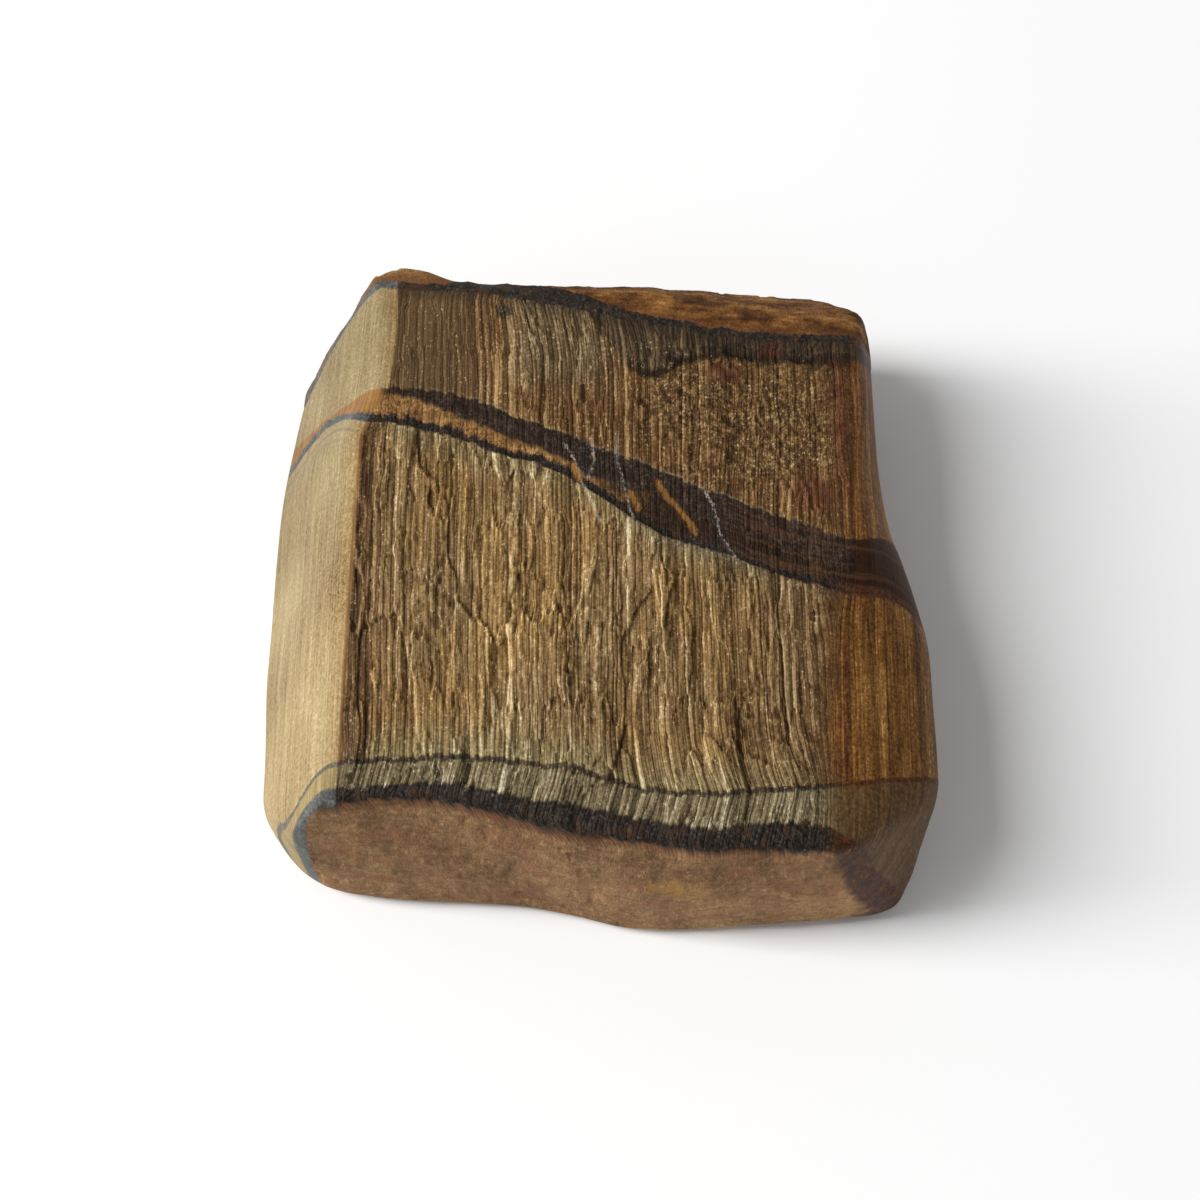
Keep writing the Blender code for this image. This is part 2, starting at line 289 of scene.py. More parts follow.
def top_height(x, y):
    """The fibrous face: nearly level, sunk along the iron band, lower behind it, ridged by its fibres."""
    level = TOP - TOP_FALL_X * (x - TOP_HIGHEST_X) ** 2 - TOP_FALL_Y * y**2
    past_front = ramp(-0.6, 0.9, y - along(BAND_FRONT, x))
    past_back = ramp(-0.9, 0.9, y - along(BAND_BACK, x))
    sunk = BAND_SINK * past_front * (1 - past_back) + BACK_SINK * past_back
    across = ramp(0.0, 2.5, x - along(LEFT_RIDGE, y)) * ramp(0.0, 2.5, along(RIGHT_RIDGE, y) - x)
    back = ramp(0.3, 3.0, y - along(FRONT_CREST, x)) * ramp(0.3, 3.0, along(BACK_CREST, x) - y)
    relief = 0.0
    for seed, (width, length, rise) in enumerate(SPLINTERS):
        relief = relief + rise * splinters(x, y, width, length, seed)
    return level - sunk + relief * across * back * (1 - 0.7 * past_front)


def bowed(out, power):
    """A straight rise before zero, and a curve that steepens after it."""
    return 0.6 * out + 0.4 * np.maximum(out, 0.0) ** power


def left_face(x, y, z):
    fall = np.clip((TOP - z) / (TOP - LEFT_WIDEST_Z), 0.0, 1.0)
    tuck = np.clip((LEFT_WIDEST_Z - z) / LEFT_WIDEST_Z, 0.0, 1.0)
    ridge, edge = along(LEFT_RIDGE, y), along(LEFT_EDGE, y)
    return (ridge + (edge - ridge) * fall**LEFT_BOW + LEFT_TUCK * tuck**2 - x) * 0.88


def right_bevel(x, y, z):
    ridge, edge = along(RIGHT_RIDGE, y), along(RIGHT_EDGE, y)
    out = (x - ridge) / (edge - ridge)
    crest = TOP - TOP_FALL_X * (ridge - TOP_HIGHEST_X) ** 2 - TOP_FALL_Y * y**2
    return (z - crest + (crest - RIGHT_EDGE_Z) * bowed(out, RIGHT_BOW)) * 0.8


def right_wall(x, y, z):
    below = np.clip((RIGHT_EDGE_Z - z) / RIGHT_EDGE_Z, 0.0, 1.0)
    return x - along(RIGHT_EDGE, y) + RIGHT_LEAN * below**1.5


def front_wall(x, y, z):
    up = np.clip(z / FRONT_CREST_Z, 0.0, 1.1)
    face = along(FRONT_FOOT, x) * (1 - up) + along(FRONT_CREST, x) * up
    return face - FRONT_BULGE * 4 * up * (1 - up) - y


def back_shoulder(x, y, z):
    crest, edge, low = along(BACK_CREST, x), along(BACK_EDGE, x), along(BACK_EDGE_Z, x)
    out = (y - crest) / (edge - crest)
    high = TOP - BACK_SINK - TOP_FALL_X * (x - TOP_HIGHEST_X) ** 2 - TOP_FALL_Y * crest**2
    return (z - high + (high - low) * bowed(out, BACK_BOW)) * 0.75


def back_wall(x, y, z):
    low = along(BACK_EDGE_Z, x)
    below = np.clip((low - z) / low, 0.0, 1.0)
    return y - along(BACK_EDGE, x) + BACK_LEAN * below**1.5


def lumps(x, y, z):
    """Slow waviness that no natural face is without."""
    total = 0.0
    for seed, (size, rise) in enumerate(LUMPS):
        total = total + rise * noise(x / size, y / size, z / size, 20 + seed)
    return total


def outside(points):
    """How far each point lies outside the stone, in about millimetres; negative inside it."""
    x, y, z = points.T
    depth = z - top_height(x, y)
    depth = soft_max(depth, right_bevel(x, y, z), BEVEL_SOFT)
    depth = soft_max(depth, right_wall(x, y, z), RIGHT_SOFT)
    depth = soft_max(depth, back_shoulder(x, y, z), BACK_SOFT)
    depth = soft_max(depth, back_wall(x, y, z), BACK_SOFT)
    depth = soft_max(depth, front_wall(x, y, z), FRONT_SOFT)
    depth = soft_max(depth, left_face(x, y, z), LEFT_SOFT)
    for normal, distance, soft in CORNERS:
        depth = soft_max(depth, points @ np.array(normal) - distance, soft)
    depth = depth + lumps(x, y, z) * ramp(0.0, 5.0, z)
    return soft_max(depth, -z, BASE_SOFT)


def cube_grid(cells):
    """A cube from -1 to 1, with its faces cut into this many cells along X, Y and Z."""
    mesh = bmesh.new()
    bmesh.ops.create_cube(mesh, size=2.0)
    for axis, count in enumerate(cells):
        running = [e for e in mesh.edges if abs(e.verts[0].co[axis] - e.verts[1].co[axis]) > 1.0]
        bmesh.ops.subdivide_edges(mesh, edges=running, cuts=count - 1, use_grid_fill=False)
    return mesh


def between(u, v, left, right, front, back):
    """Where the point that is this far across and this far back lies, between four wavy sides."""
    x, y = 45 * u - 22, 48 * v - 25
    for _ in range(6):
        x = along(left, y) * (1 - u) + along(right, y) * u
        y = along(front, x) * (1 - v) + along(back, x) * v
    return x, y


def block(unit, crowding):
    """The cube's points moved to a block with the stone's own sides: its edges lie along the ridges."""
    crowded = unit * (1 + crowding * (1 - unit**2))
    u, v, w = ((crowded + 1) / 2).T
    crest_x, crest_y = between(u, v, LEFT_RIDGE, RIGHT_RIDGE, FRONT_CREST, BACK_CREST)
    foot_x, foot_y = between(u, v, LEFT_EDGE, RIGHT_EDGE, FRONT_FOOT, BACK_EDGE)
    return np.column_stack([foot_x * (1 - w) + crest_x * w, foot_y * (1 - w) + crest_y * w, TOP * w])


def pushed_out(points):
    """Each point moved along its line from the middle of the stone until it lies on its surface."""
    ray = points - MIDDLE
    ray /= np.linalg.norm(ray, axis=1)[:, None]
    near, far = np.zeros(len(ray)), np.full(len(ray), REACH)
    for _ in range(HALVINGS):
        half = (near + far) / 2
        within = outside(MIDDLE + ray * half[:, None]) < 0
        near, far = np.where(within, half, near), np.where(within, far, half)
    return MIDDLE + ray * near[:, None]


def centre_of_solid():
    """What the solid's own points were moved by, to put the middle of its footprint over the origin."""
    grid = cube_grid(CAD_CELLS)
    points = pushed_out(block(np.array([v.co for v in grid.verts]), CAD_CROWDING))
    grid.free()
    low, high = points.min(0), points.max(0)
    return np.array([(low[0] + high[0]) / 2, (low[1] + high[1]) / 2, low[2]])


# ---- Fine relief ----


def patches(spots, x, y):
    """1 inside soft-edged oval patches and 0 away from them."""
    total = np.zeros_like(x)
    for cx, cy, rx, ry in spots:
        ragged = 0.35 * noise(x / 1.3, y / 1.3, 0 * x, 91)
        total = np.maximum(total, 1 - ramp(0.55, 1.25, np.hypot((x - cx) / rx, (y - cy) / ry) + ragged))
    return total


def distance_to(lines, x, y):
    """Distance from each point to the nearest of some bent lines."""
    nearest = np.full_like(x, 9.0)
    for line in lines:
        for (ax, ay), (bx, by) in zip(line, line[1:]):
            dx, dy = bx - ax, by - ay
            t = np.clip(((x - ax) * dx + (y - ay) * dy) / (dx * dx + dy * dy), 0, 1)
            nearest = np.minimum(nearest, np.hypot(x - ax - t * dx, y - ay - t * dy))
    return nearest


def fibre_x(x, y):
    """Where each point's fibre crosses the middle of its seam, as the fibres lean and bend."""
    short = ramp(-0.3, 0.3, along(THIN_LINE, x) - y)
    past_thin = np.maximum(y - along(THIN_LINE, x), 0.0)
    slack = np.maximum(7.0 - past_thin, 0.0) ** 2 / 40 * ramp(-4.0, 10.0, x)
    high = np.maximum(y - 16.0, 0.0) ** 2 / 60 * ramp(-14.0, -6.0, x) * (1 - ramp(2.0, 8.0, x))
    wander = 0.3 * noise(x / 12, y / 20, 0 * x, 61) + 0.07 * noise(x / 2.2, y / 5, 0 * x, 62)
    wander = wander + 0.05 * noise(x / 0.8, y / 2.5, 0 * x, 63)
    return x - slack + 0.24 * (along(THIN_LINE, x) - y) * short + high + wander


def across_fibres(x, y, z):
    """Distance over the surface at right angles to the fibres, so that none smears down the sides."""
    left, right = along(LEFT_RIDGE, y) - x, x - along(RIGHT_RIDGE, y)
    side = ramp(0.0, 1.2, right) - ramp(0.0, 1.2, left)
    return x + (fibre_x(x, y) - x) * top_share(x, y, z) + side * 0.7 * (TOP - z)


def terraces(u, y, width, length, seed):
    """1 where a sheet of fibres is left and 0 where it split away, its edges stepped by fibres."""
    strip = np.floor(u / 0.4 + 0.3 * noise(u, y / 5, 0 * u, seed)).astype(np.int64)
    stepped = y + 0.5 * dice(strip, 0 * strip, 0 * strip, seed)
    field = noise(u / width, stepped / length, 0 * u, seed + 1)
    field = field + 0.3 * noise(4 * u / width, 4 * stepped / length, 0 * u, seed + 2)
    return ramp(-0.04, 0.04, field)


def top_share(x, y, z):
    """1 on the broken top face, 0 on the sawn, worn and ironstone faces round it."""
    share = ramp(0.0, 0.7, x - along(LEFT_RIDGE, y)) * ramp(-0.4, 1.6, along(RIGHT_RIDGE, y) - x)
    share = share * ramp(-0.3, 0.5, y - along(FRONT_CREST, x)) * ramp(0.0, 1.6, along(BACK_CREST, x) - y)
    return share * ramp(14.0, 17.0, z)


def sheets(u, y):
    """Height of the sheets of fibres that are left."""
    height = 0.0
    for n, (width, length, rise) in enumerate(TERRACES):
        height = height + rise * terraces(u, y, width, length, 90 + 10 * n)
    return height


def scarps(u, y):
    """Above 0 where a sheet ends or steps down to the right, below 0 where it steps down to the left."""
    across = sheets(u - 0.12, y) - sheets(u + 0.12, y)
    ends = np.abs(sheets(u, y - 0.15) - sheets(u, y + 0.15))
    return np.clip(5 * across + 2 * ends, -1.0, 1.0)


def layer_shares(x, y):
    """How far each point of the top is in the black band, the short fibre, the iron and behind it."""
    black = ramp(0.2, -0.2, y - along(BLACK_BAND, x))
    short = ramp(0.2, -0.2, y - along(THIN_LINE, x)) * (1 - black)
    behind = ramp(-0.2, 0.4, y - along(IRON_BACK, x))
    iron = ramp(-0.2, 0.3, y - along(IRON_FRONT, x)) * (1 - behind)
    return black, short, iron, behind


def roughness(x, y):
    """How rough the break is: 1 in the main seam, less behind the iron band, and least along it."""
    black, short, iron, behind = layer_shares(x, y)
    smooth = behind * ramp(-6.0, -12.0, x)
    return 1 - 0.35 * black - 0.3 * short - 0.75 * iron - 0.4 * behind - 0.25 * smooth


def top_detail(x, y):
    """Fine height of the broken face: split fibres, grainy and torn patches, grooved lines and cracks."""
    u = fibre_x(x, y)
    black, _, iron, _ = layer_shares(x, y)
    torn, grainy = patches(TORN, x, y), patches(GRAINY, x, y)
    fibres = 0.0
    for n, (width, length, rise) in enumerate(FINE_SPLINTERS):
        fibres = fibres + rise * splinters(u, y, width, length, 5 + n)
    fibres = fibres + sheets(u, y)
    fibres += torn * (0.1 * splinters(u, y, 0.6, 1.2, 9) + 0.07 * noise(u / 0.4, y / 0.5, 0 * x, 72))
    crinkled = ramp(-0.1, 0.4, noise(x / 5, y / 7, 0 * x, 76))
    fibres += 0.05 * crinkled * noise(u / 0.4, y / 0.8, 0 * x, 77)
    grain = 0.11 * noise(x / 0.42, y / 0.55, 0 * x, 73) + 0.09 * noise(x / 0.9, y / 1.2, 0 * x, 74)
    height = fibres * roughness(x, y) * (1 - 0.8 * grainy)
    height += grain * (0.9 * grainy + 0.35 * iron + 0.4 * black)
    height -= 0.1 * np.exp(-(((y - along(THIN_LINE, x)) / 0.18) ** 2))
    height -= 0.2 * np.exp(-(((x - along(LEFT_RIDGE, y) - 1.2) / 0.7) ** 2))
    ragged = y - along(RAGGED_LINE, x) + 0.35 * noise(x / 0.8, y / 0.8, 0 * x, 75)
    height -= 0.24 * np.exp(-((ragged / 0.38) ** 2)) * ramp(2.0, 5.0, x)
    height += 0.1 * np.exp(-((distance_to(PALE_CRACKS, x, y) / 0.16) ** 2))
    return height - 0.1 * np.exp(-((distance_to(ORANGE_CRACKS, x, y) / 0.3) ** 2))


def ironstone_share(x, y):
    """1 in the ironstone at the two ends, 0 between them."""
    front = ramp(0.0, 0.5, along(IRONSTONE_FRONT, x) - y)
    return np.maximum(front, ramp(-0.5, 0.5, y - along(BACK_LINE, x)))


def side_detail(x, y, z):
    """Fine height of the other faces: pitted ironstone at the ends, nearly smooth stone on the sides."""
    ironstone = ironstone_share(x, y)
    flow = 1 - 2 * np.abs(noise(x / 3.4, y / 3.4, z / 6.0, 81))
    coarse = 0.13 * flow + 0.08 * noise(x / 1.2, y / 1.2, z / 2.4, 82)
    coarse += 0.04 * noise(x / 0.5, y / 0.5, z / 1.1, 85)
    pits = -0.12 * ramp(0.45, 0.7, noise(x / 0.8, y / 0.8, z / 1.6, 83))
    worn = 0.03 * noise(x / 0.7, y / 5.0, z / 0.7, 84)
    return ironstone * (coarse + pits) + (1 - ironstone) * worn


def fine_stone(shift):
    """The stone's surface on the fine grid, with its relief, as (points in the solid's frame, faces)."""
    grid = cube_grid(CELLS)
    points = pushed_out(block(np.array([v.co for v in grid.verts]), CROWDING))
    x, y, z = points.T
    share = top_share(x, y, z)
    x, y, z = (points + share[:, None] * [0.0, 0.0, 1.0] * top_detail(x, y)[:, None]).T
    out = points - MIDDLE * [0.0, 0.0, 1.0]
    out[:, 2] *= 0.3
    out /= np.linalg.norm(out, axis=1)[:, None]
    rest = (1 - share) * side_detail(x, y, z) * ramp(0.6, 2.5, z)
    moved = np.column_stack([x, y, z]) + out * rest[:, None]
    for vert, place in zip(grid.verts, (moved - shift) * MM):
        vert.co = place
    bmesh.ops.recalc_face_normals(grid, faces=grid.faces)
    return grid


def thinned(piece):
    """The piece with fewer triangles where it is flat, so that they stay where its relief is."""
    mesh = piece.data
    triangles = sum(len(p.vertices) - 2 for p in mesh.polygons)
    thin = piece.modifiers.new("thin", "DECIMATE")
    thin.ratio = min(1.0, MOST_TRIANGLES / triangles)
    thin.use_collapse_triangulate = True
    graph = bpy.context.evaluated_depsgraph_get()
    result = bpy.data.meshes.new_from_object(piece.evaluated_get(graph))
    piece.modifiers.remove(thin)
    piece.data = result
    bpy.data.meshes.remove(mesh)


def give(mesh, name, values):
    """Writes one number on each vertex."""
    layer = mesh.attributes.new(name, "FLOAT", "POINT")
    layer.data.foreach_set("value", np.asarray(values, np.float32))


def read_points(mesh, shift):
    """The mesh's points, in millimetres in the solid's frame."""
    points = np.empty(len(mesh.vertices) * 3, np.float32)
    mesh.vertices.foreach_get("co", points)
    return points.reshape(-1, 3).astype(float) / MM + shift


def mark_surface(mesh, shift):
    """Writes on each vertex what the colours need to know of the relief there, including where they paint
    shade and highlight.
    """
    x, y, z = read_points(mesh, shift).T
    share = top_share(x, y, z)
    u = fibre_x(x, y)
    give(mesh, "across", across_fibres(x, y, z) + 1.6 * share * sheets(u, y))
    # The scarp value is for painted shade on steps down to the right and painted highlight on steps down to
    # the left.
    give(mesh, "scarp", scarps(u, y) * share * roughness(x, y))
    black, _, iron, _ = layer_shares(x, y)
    give(mesh, "sparkly", share * (1 - black) * (1 - iron) * ramp(-1.5, -2.5, y - along(BACK_LINE, x)))
    give(mesh, "fibrous", 1 - ironstone_share(x, y))
    relief = top_detail(x, y)
    around = [top_detail(x + across, y + along_it) for across, along_it in CAVITY_REACH]
    give(mesh, "relief", relief * share)
    # The cavity value is for painted shade in crevices and painted highlight on crests.
    give(mesh, "cavity", np.clip(relief - sum(around) / len(around), -0.2, 0.07) * share)
    give(mesh, "top", share)
    give(mesh, "grainy", patches(GRAINY, x, y) * share)
    give(mesh, "red", patches(RED_STAINS, x, y) * share)
    give(mesh, "blot", patches(BLOTS, x, y) * share)
    give(mesh, "pale_crack", distance_to(PALE_CRACKS, x, y) + 5 * (1 - share))
    give(mesh, "orange_crack", distance_to(ORANGE_CRACKS, x, y) + 5 * (1 - share))


# Flat maps of the stone's sides, for baking, on a square sheet this wide. Each has the way its side faces,
# the two axes laid flat, the corner it goes to and its scale. The broken face has a head start.
SHEET = 74.0
HEAD_START = 0.12
CHARTS = {
    "top": ((0, 0, 1), (0, 1), (0.5, 0.5), 1.0),
    "front": ((0, -1, 0), (0, 2), (0.5, 59.5), 0.6),
    "back": ((0, 1, 0), (0, 2), (38.0, 59.5), 0.45),
    "left": ((-1, 0, 0), (2, 1), (56.0, 0.5), 0.66),
    "right": ((1, 0, 0), (2, 1), (56.0, 41.0), 0.28),
    "base": ((0, 0, -1), (0, 1), (64.0, 41.0), 0.15),
}


def lay_flat(mesh, shift):
    """A UV map with one chart for each side of the stone, the broken face the largest."""
    points = read_points(mesh, shift)
    corners = np.empty(len(mesh.loops), np.int32)
    mesh.loops.foreach_get("vertex_index", corners)
    middle = points[corners].reshape(-1, 3, 3).mean(1)
    step = 0.5
    slopes = [outside(middle + step * axis) - outside(middle - step * axis) for axis in np.eye(3)]
    smooth = np.column_stack(slopes)
    smooth /= np.linalg.norm(smooth, axis=1)[:, None]
    facing = np.column_stack([smooth @ np.array(normal, float) for normal, *_ in CHARTS.values()])
    facing[:, 0] += HEAD_START
    chart = facing.argmax(1)
    uv = np.zeros((len(corners), 2))
    for n, (_, axes, corner, scale) in enumerate(CHARTS.values()):
        mine = np.repeat(chart == n, 3)
        flat = points[corners[mine]][:, axes]
        uv[mine] = (flat - flat.min(0)) * scale + corner
    layer = mesh.uv_layers.new(name="OFBake")
    layer.data.foreach_set("uv", (uv / SHEET).astype(np.float32).ravel())


# ---- Materials ----


def light(tone):
    """The share of light given back by what a screen shows as a tone from 0 to 255."""
    share = tone / 255
    return share / 12.92 if share <= 0.04045 else ((share + 0.055) / 1.055) ** 2.4


def paint(colour):
    return (*map(light, colour), 1.0)


# Where most ramps have their colours, from 0 to 1.
FIVE = (0.12, 0.36, 0.55, 0.75, 1.0)
FOUR = (0.12, 0.38, 0.58, 1.0)
THREE = (0.1, 0.5, 0.9)
TWO = (0.1, 0.9)
# Colours as a screen shows them, from 0 to 255: each ramp has its places, then a colour for each of them.
RAMPS = {
    "golden fibre": (FIVE, (56, 38, 22), (91, 67, 39), (124, 98, 62), (156, 128, 87), (216, 196, 156)),
    "orange fibre": (FIVE, (57, 37, 19), (93, 67, 38), (127, 98, 59), (161, 128, 78), (220, 192, 142)),
    "pale fibre": (FIVE, (54, 44, 28), (92, 77, 50), (127, 111, 76), (156, 141, 100), (214, 206, 172)),
    "umber fibre": (FOUR, (50, 33, 19), (78, 54, 32), (107, 78, 47), (184, 154, 110)),
    "crust by the iron": (THREE, (66, 56, 42), (124, 110, 84), (176, 164, 136)),
    "upper umber": (FOUR, (36, 23, 12), (68, 49, 30), (94, 72, 45), (166, 140, 98)),
    "upper amber": (FOUR, (40, 24, 11), (75, 51, 27), (104, 73, 41), (186, 152, 102)),
    "upper pale": (FOUR, (42, 34, 23), (80, 67, 45), (110, 95, 67), (190, 180, 150)),
    "crumbled fibre": ((0.1, 0.42, 0.62, 1.0), (50, 34, 20), (86, 62, 37), (120, 91, 54), (186, 156, 108)),
    "sawn fibre and sheen": (
        (0.0, 0.25, 0.5, 0.85, 1.0),
        (106, 83, 51), (142, 119, 80), (160, 139, 97), (187, 167, 124), (220, 206, 168),
    ),
    "sawn edge highlight": (THREE, (120, 84, 44), (166, 128, 76), (214, 184, 136)),
    "worn fibre": ((0.05, 0.5, 0.9, 1.0), (66, 37, 15), (113, 76, 35), (158, 114, 57), (190, 150, 90)),
    "worn reddish": ((0.05, 0.5, 0.95), (56, 28, 14), (100, 60, 30), (150, 102, 58)),
    "broken black and glints": (
        (0.15, 0.5, 0.72, 0.86, 1.0),
        (20, 16, 13), (40, 34, 29), (66, 59, 52), (92, 91, 90), (132, 138, 142),
    ),
    "sawn black": (THREE, (50, 50, 48), (80, 81, 78), (118, 120, 116)),
    "worn maroon": ((0.1, 0.5, 0.75, 1.0), (36, 20, 11), (75, 42, 23), (104, 66, 38), (158, 120, 80)),
    "short fibre": (FIVE, (38, 31, 22), (80, 68, 47), (114, 100, 72), (148, 134, 103), (210, 202, 178)),
    "short worn": (THREE, (56, 39, 23), (92, 67, 41), (130, 100, 66)),
    "short sawn": (TWO, (132, 112, 72), (170, 150, 106)),
    "band rust": ((0.1, 0.42, 0.62, 0.9), (76, 46, 24), (124, 89, 51), (158, 120, 72), (200, 158, 100)),
    "band rust sawn": (TWO, (112, 76, 38), (156, 114, 66)),
    "band liver": (THREE, (25, 16, 10), (46, 32, 21), (84, 60, 40)),
    "band liver worn": (TWO, (36, 19, 9), (64, 37, 18)),
    "band skin": ((0.1, 0.5, 0.8, 1.0), (25, 18, 13), (46, 34, 26), (76, 62, 51), (120, 108, 96)),
    "front brown": ((0.05, 0.4, 0.65, 0.95), (96, 70, 46), (131, 100, 69), (151, 118, 82), (178, 144, 100)),
    "back rust": ((0.05, 0.35, 0.6, 1.0), (50, 29, 14), (90, 57, 28), (126, 84, 42), (176, 128, 70)),
    "back knob": (THREE, (104, 70, 38), (142, 102, 62), (176, 136, 92)),
    "grey fibre": ((0.12, 0.5, 1.0), (26, 20, 13), (60, 47, 33), (116, 96, 70)),
}
PLAIN = {
    "ridge highlight gold": (150, 110, 62),
    "dull umber": (105, 81, 53),
    "crackle": (44, 30, 18),
    "grey arc": (104, 98, 78),
    "dark pit": (66, 42, 20),
    "rusty black": (76, 52, 36),
    "band layer": (84, 56, 38),
    "ochre spot": (178, 136, 72),
    "pale fleck": (186, 152, 108),
    "brown vein": (96, 66, 46),
    "pink blush": (146, 96, 72),
    "red rim": (112, 68, 46),
    "brown rim": (80, 56, 38),
    "back edge": (84, 48, 28),
    "ragged line": (30, 24, 18),
    "dusk": (48, 39, 30),
    "glint": (236, 224, 192),
    "red stain": (94, 42, 32),
    "dark blot": (30, 26, 22),
    "grey blot": (84, 86, 86),
    "warm quartz": (186, 168, 142),
    "cool quartz": (148, 156, 160),
    "orange crack": (150, 104, 52),
}

# What each edge has behind it.
EDGES = {
    "black": IRONSTONE_FRONT,
    "short": BLACK_BAND,
    "seam": THIN_LINE,
    "iron": IRON_FRONT,
    "upper": IRON_BACK,
    "grey": RAGGED_LINE,
    "back": BACK_LINE,
}
EDGE_SPAN = 64.0
# Grain varies about zero. This brings it to the middle of a ramp of colours.
MIDTONE = 0.5
SHEEN = 0.08
QUARTZ_IOR = 1.54


class Value:
    """A number that a node gives at each point. Adding, subtracting and multiplying one adds a node."""

    def __init__(self, weave, socket):
        self.weave = weave
        self.socket = socket

    def __add__(self, other):
        return self.weave.calc("ADD", self, other)

    def __radd__(self, other):
        return self.weave.calc("ADD", other, self)

    def __sub__(self, other):
        return self.weave.calc("SUBTRACT", self, other)

    def __rsub__(self, other):
        return self.weave.calc("SUBTRACT", other, self)

    def __mul__(self, other):
        return self.weave.calc("MULTIPLY", self, other)

    def __rmul__(self, other):
        return self.weave.calc("MULTIPLY", other, self)


class Weave:
    """Short calls that add shader nodes to one material and return what they give."""

    def __init__(self, material):
        self.tree = material.node_tree

    def add(self, kind, *inputs, **settings):
        node = self.tree.nodes.new("ShaderNode" + kind)
        for name, value in settings.items():
            setattr(node, name, value)
        for place, value in enumerate(inputs):
            self.join(value, node.inputs[place])
        return node

    def join(self, value, socket):
        """Links what a node gives to the socket, or sets a number, a vector or a plain colour there."""
        if isinstance(value, Value):
            value = value.socket
        if isinstance(value, str):
            value = paint(PLAIN[value])
        if isinstance(value, bpy.types.NodeSocket):
            self.tree.links.new(value, socket)
        else:
            socket.default_value = value

    def fill(self, node, inputs):
        """Joins each value to the node's input of that name or number."""
        for name, value in inputs.items():
            self.join(value, node.inputs[name])

    def calc(self, operation, *values):
        return Value(self, self.add("Math", *values, operation=operation).outputs[0])

    def step(self, low, high, value):
        """0 below low and 1 above high, eased between them; low may be the larger."""
        node = self.add("MapRange", value, interpolation_type="SMOOTHSTEP")
        lo, hi, start, end = (low, high, 0.0, 1.0) if low < high else (high, low, 1.0, 0.0)
        self.fill(node, {"From Min": lo, "From Max": hi, "To Min": start, "To Max": end})
        return Value(self, node.outputs[0])

    def dim(self, colour, share):
        """The colour, made darker by a share from 0 to 1."""
        node = self.add("VectorMath", colour, operation="SCALE")
        self.fill(node, {"Scale": share})
        return node.outputs[0]

    def scaled(self, vector, x, y, z):
        return self.add("VectorMath", vector, (x, y, z), operation="MULTIPLY").outputs[0]

    def moved(self, vector, by):
        return self.add("VectorMath", vector, by, operation="ADD").outputs[0]

    def point(self, x, y, z):
        return self.add("CombineXYZ", x, y, z).outputs[0]

    def noise(self, vector, detail, roughness, offset, dimensions="3D"):
        """Noise from 0 to 1, with lumps one unit apart in the vector given."""
        place = self.moved(vector, (offset, offset, offset))
        node = self.add("TexNoise", place, noise_dimensions=dimensions)
        self.fill(node, {"Scale": 1.0, "Detail": detail, "Roughness": roughness})
        return Value(self, node.outputs["Fac"])

    def attribute(self, name):
        return Value(self, self.add("Attribute", attribute_name=name).outputs["Fac"])

    def mix(self, share, a, b):
        node = self.add("Mix", share, data_type="RGBA")
        self.fill(node, {6: a, 7: b})
        return node.outputs[2]

    def tones(self, value, name):
        """The colour that the named ramp has at the value."""
        places, *colours = RAMPS[name]
        node = self.add("ValToRGB", value)
        elements = node.color_ramp.elements
        while len(elements) < len(colours):
            elements.new(0.5)
        for element, place, colour in zip(elements, places, colours):
            element.position = place
            element.color = paint(colour)
        return node.outputs[0]

    def curve(self, stations, at):
        """The smooth curve through the stations, whose places and values lie within half of the span."""
        node = self.add("FloatCurve")
        points = node.mapping.curves[0].points
        while len(points) < len(stations):
            points.new(0.5, 0.5)
        for point, (place, value) in zip(points, stations):
            point.location = (place / EDGE_SPAN + 0.5, min(max(value / EDGE_SPAN + 0.5, 0.0), 1.0))
        node.mapping.update()
        self.fill(node, {"Value": self.calc("MULTIPLY_ADD", at, 1 / EDGE_SPAN, 0.5)})
        return self.calc("MULTIPLY_ADD", node.outputs[0], EDGE_SPAN, -EDGE_SPAN / 2)


